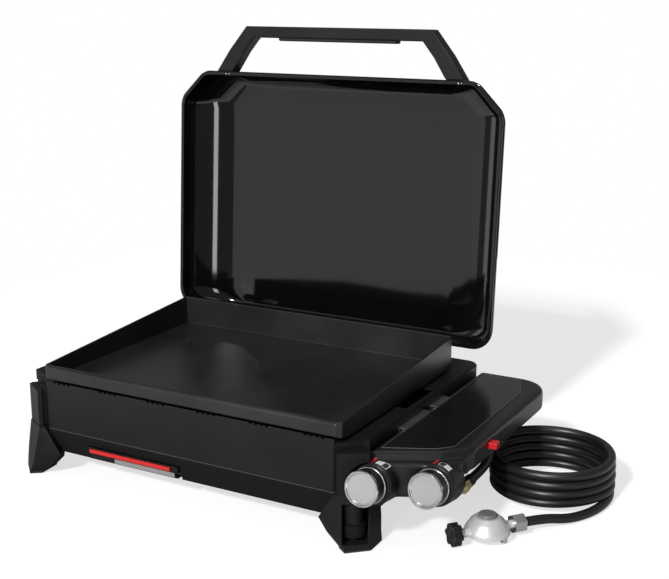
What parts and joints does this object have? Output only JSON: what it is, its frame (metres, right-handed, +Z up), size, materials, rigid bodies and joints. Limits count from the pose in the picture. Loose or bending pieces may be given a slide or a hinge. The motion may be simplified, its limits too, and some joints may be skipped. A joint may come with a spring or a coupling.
{
  "type": "tabletop gas griddle station",
  "caption": "Tabletop gas griddle: flat steel plate in a black cookbox on splayed feet, hinged lid with bar handle, right side table, control knobs, drip tray, coiled gas hose with regulator.",
  "frame": {"origin": "centre of the underside of the box around everything but the gas hose, its end fittings and the regulator; the lid stands open", "axes": "+X to the user's right along the hinge, +Y from the front panel to the hinge, +Z up from the ground the feet stand on"},
  "size_m": [0.9455, 0.6025, 0.7445],
  "materials": {
    "box_black": "satin",
    "brass_plain": "plain",
    "bright_steel": "plain",
    "button_red": "gloss",
    "chrome": "polished",
    "gas_aluminium": "plain",
    "grip_black": "matt",
    "handle_black": "matt",
    "hose_rubber": "satin",
    "knob_black": "satin",
    "leg_plastic": "satin",
    "lid_enamel": "gloss",
    "plate_steel": "semi-gloss, seasoned",
    "regulator_cap_grey": "satin",
    "regulator_grey": "satin",
    "rubber_black": "matt",
    "sheet_steel": "plain",
    "table_gloss": "gloss",
    "table_plastic": "satin"
  },
  "bodies": {
    "station": {"burner_left": "bright_steel", "burner_right": "bright_steel", "burner_supports": "sheet_steel", "control_pod": "leg_plastic", "cookbox_floor": "sheet_steel", "cookbox_shell": "box_black", "foot_pads": "rubber_black", "gas_feed_tubes": "gas_aluminium", "gas_inlet_nut": "brass_plain", "gas_jets": "brass_plain", "gas_manifold": "gas_aluminium", "gas_valves": "brass_plain", "grease_chute": "sheet_steel", "griddle_plate": "plate_steel", "hinge_brackets": "sheet_steel", "hinge_pins": "bright_steel", "hose_adapter": "knob_black", "hose_coil": "hose_rubber", "hose_lower": "hose_rubber", "hose_upper": "hose_rubber", "igniter_body": "table_plastic", "igniter_electrodes": "bright_steel", "igniter_wires": "rubber_black", "knob_bezels": "knob_black", "leg_front_left": "leg_plastic", "leg_front_right": "leg_plastic", "leg_rear_left": "leg_plastic", "leg_rear_right": "leg_plastic", "leg_screws": "bright_steel", "plate_feet": "rubber_black", "regulator_body": "regulator_grey", "regulator_cap": "regulator_cap_grey", "side_table": "table_plastic", "table_brackets": "sheet_steel", "table_panel": "table_gloss", "top_ledge": "box_black", "tray_rails": "sheet_steel", "union_nut": "brass_plain"},
    "lid": {"lid_shell": "lid_enamel", "lid_handle": "handle_black", "handle_grip": "grip_black", "handle_screws": "bright_steel", "hinge_arms": "sheet_steel"},
    "stem_left": {"valve_stem_left": "bright_steel"},
    "stem_right": {"valve_stem_right": "bright_steel"},
    "knob_left": {"knob_left": "knob_black", "knob_ring_left": "chrome", "knob_cap_left": "chrome"},
    "knob_right": {"knob_right": "knob_black", "knob_ring_right": "chrome", "knob_cap_right": "chrome"},
    "igniter_button": {"igniter_button": "button_red"},
    "drip_tray": {"drip_tray": "box_black", "tray_strip": "button_red", "grease_pan": "gas_aluminium"},
    "ring": {"levelling_ring": "leg_plastic"},
    "stud": {"levelling_stud": "bright_steel"},
    "hand_wheel": {"regulator_wheel": "knob_black"}
  },
  "joints": [
    {"name": "lid_hinge", "type": "hinge", "parent": "station", "child": "lid", "pos_m": [-0.0625, 0.19851, 0.1784], "axis": [1, 0, 0], "range_deg": [0, 93.5]},
    {"name": "knob_push_left", "type": "slide", "parent": "station", "child": "stem_left", "axis": [0, 0.9903, -0.1392], "range_m": [0, 0.004], "stiffness_N_per_m": 600, "springref_m": -0.004},
    {"name": "knob_turn_left", "type": "hinge", "parent": "stem_left", "child": "knob_left", "pos_m": [0.2735, -0.26479, 0.1047], "axis": [0, -0.9903, 0.1392], "range_deg": [0, 150]},
    {"name": "knob_push_right", "type": "slide", "parent": "station", "child": "stem_right", "axis": [0, 0.9903, -0.1392], "range_m": [0, 0.004], "stiffness_N_per_m": 600, "springref_m": -0.004},
    {"name": "knob_turn_right", "type": "hinge", "parent": "stem_right", "child": "knob_right", "pos_m": [0.3565, -0.22449, 0.1047], "axis": [0, -0.9903, 0.1392], "range_deg": [0, 150]},
    {"name": "igniter_push", "type": "slide", "parent": "station", "child": "igniter_button", "axis": [-1, 0, 0], "range_m": [0, 0.005], "stiffness_N_per_m": 500, "springref_m": -0.004},
    {"name": "tray_slide", "type": "slide", "parent": "station", "child": "drip_tray", "axis": [0, -1, 0], "range_m": [0, 0.19]},
    {"name": "stud_slide", "type": "slide", "parent": "station", "child": "stud", "axis": [0, 0, -1], "range_m": [0, 0.006]},
    {"name": "ring_turn", "type": "hinge", "parent": "station", "child": "ring", "pos_m": [0.2415, -0.25949, 0.027], "axis": [0, 0, -1], "range_deg": [0, 1083]},
    {"name": "wheel_turn", "type": "hinge", "parent": "station", "child": "hand_wheel", "pos_m": [0.37818, -0.19195, 0.0183], "axis": [0.6307, 0.776, 0], "continuous": true}
  ],
  "couplings": [
    {"joint": "ring_turn", "follows": "stud_slide", "rad_per_m": 3141.6}
  ]
}
